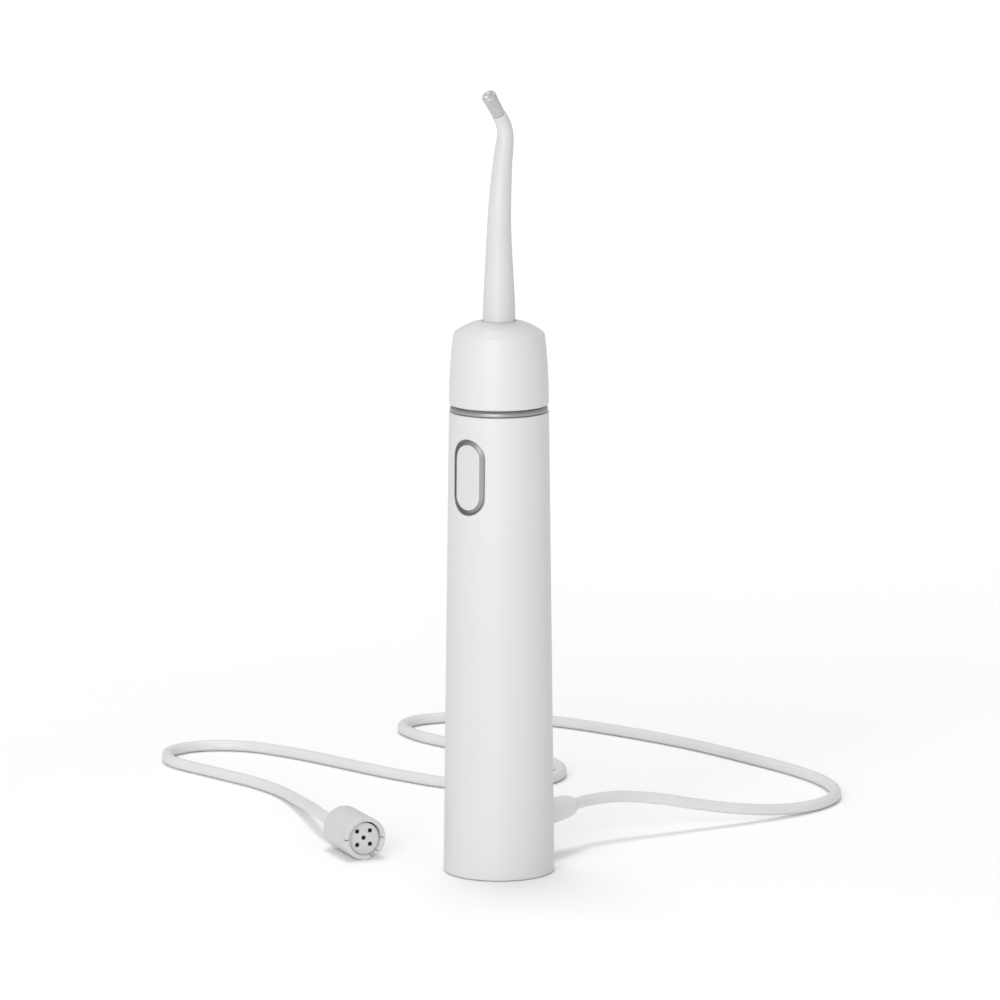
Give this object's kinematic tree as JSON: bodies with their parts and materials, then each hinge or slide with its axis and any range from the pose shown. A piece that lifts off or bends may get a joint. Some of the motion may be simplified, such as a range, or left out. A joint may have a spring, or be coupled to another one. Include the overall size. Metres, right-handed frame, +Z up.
{
  "type": "ultrasonic scaler",
  "caption": "Upright handheld ultrasonic scaler with a tapered round body, long push button, screw-on nose, bent sleeved tip, and a lead ending in a round plug.",
  "frame": {"origin": "centre of the foot pad on the standing surface", "axes": "+Z up the body's axis to the tip, -Y out of the push button, +Y the way the lead leaves"},
  "size_m": [0.1805, 0.1666, 0.1981],
  "materials": {
    "white_shell": "satin moulded white",
    "inner_plastic": "matt moulded white",
    "bright_trim": "satin metallic grey",
    "tip_plastic": "smooth translucent white",
    "tip_metal": "satin grey metal",
    "steel": "turned steel",
    "rubber_black": "matt black rubber",
    "ceramic": "fired ceramic",
    "copper": "rolled copper alloy",
    "board": "green laminate",
    "switch_black": "moulded black",
    "insulation": "amber film",
    "cord_white": "soft satin off-white",
    "wire_red": "smooth",
    "wire_black": "smooth",
    "plug_plastic": "moulded light grey",
    "gold_pin": "plated"
  },
  "bodies": {
    "handle": {"accent_ring": "bright_trim", "back_mass": "steel", "base_cap": "inner_plastic", "board_lead": "cord_white", "board_screw_lower": "steel", "board_screw_upper": "steel", "body_housing": "white_shell", "button_bezel": "bright_trim", "cable_clamp": "inner_plastic", "cap_screw_left": "steel", "cap_screw_right": "steel", "control_board": "board", "cord": "cord_white", "electrode_1": "copper", "electrode_2": "copper", "electrode_3": "copper", "electrode_4": "copper", "foot_pad": "rubber_black", "front_mount_ring": "rubber_black", "horn": "steel", "inner_cable": "cord_white", "inner_chassis": "inner_plastic", "insulating_sleeve": "insulation", "lead_live": "wire_red", "lead_return": "wire_black", "piezo_ring_1": "ceramic", "piezo_ring_2": "ceramic", "piezo_ring_3": "ceramic", "piezo_ring_4": "ceramic", "plug_back": "plug_plastic", "plug_contact_1": "gold_pin", "plug_contact_2": "gold_pin", "plug_contact_3": "gold_pin", "plug_contact_4": "gold_pin", "plug_contact_5": "gold_pin", "plug_insert": "plug_plastic", "plug_shell": "plug_plastic", "rear_mount_ring": "rubber_black", "stack_bolt": "steel", "strain_relief": "cord_white", "tact_switch": "switch_black"},
    "nose_lift": {"nose_seal": "rubber_black"},
    "nose": {"nose_cone": "white_shell"},
    "tip": {"tip_sleeve": "tip_plastic", "working_tip": "tip_metal", "tip_rod": "steel"},
    "button": {"button_cap": "white_shell"},
    "plunger": {"switch_plunger": "switch_black"}
  },
  "joints": [
    {"name": "button_press", "type": "slide", "parent": "handle", "child": "button", "axis": [0, 1, 0], "range_m": [0, 0.00055], "stiffness_N_per_m": 2500, "springref_m": -0.0001},
    {"name": "plunger_travel", "type": "slide", "parent": "handle", "child": "plunger", "axis": [0, 1, 0], "range_m": [0, 0.000275]},
    {"name": "nose_rise", "type": "slide", "parent": "handle", "child": "nose_lift", "axis": [0, 0, 1], "range_m": [0, 0.002]},
    {"name": "nose_turn", "type": "hinge", "parent": "nose_lift", "child": "nose", "pos_m": [0, 0, 0.125], "axis": [0, 0, 1], "range_deg": [0, 720]},
    {"name": "tip_turn", "type": "hinge", "parent": "handle", "child": "tip", "pos_m": [0, 0, 0.14], "axis": [0, 0, 1], "range_deg": [-180, 180]}
  ],
  "couplings": [
    {"joint": "plunger_travel", "follows": "button_press", "ratio": 0.5},
    {"joint": "nose_turn", "follows": "nose_rise", "rad_per_m": 6280}
  ]
}
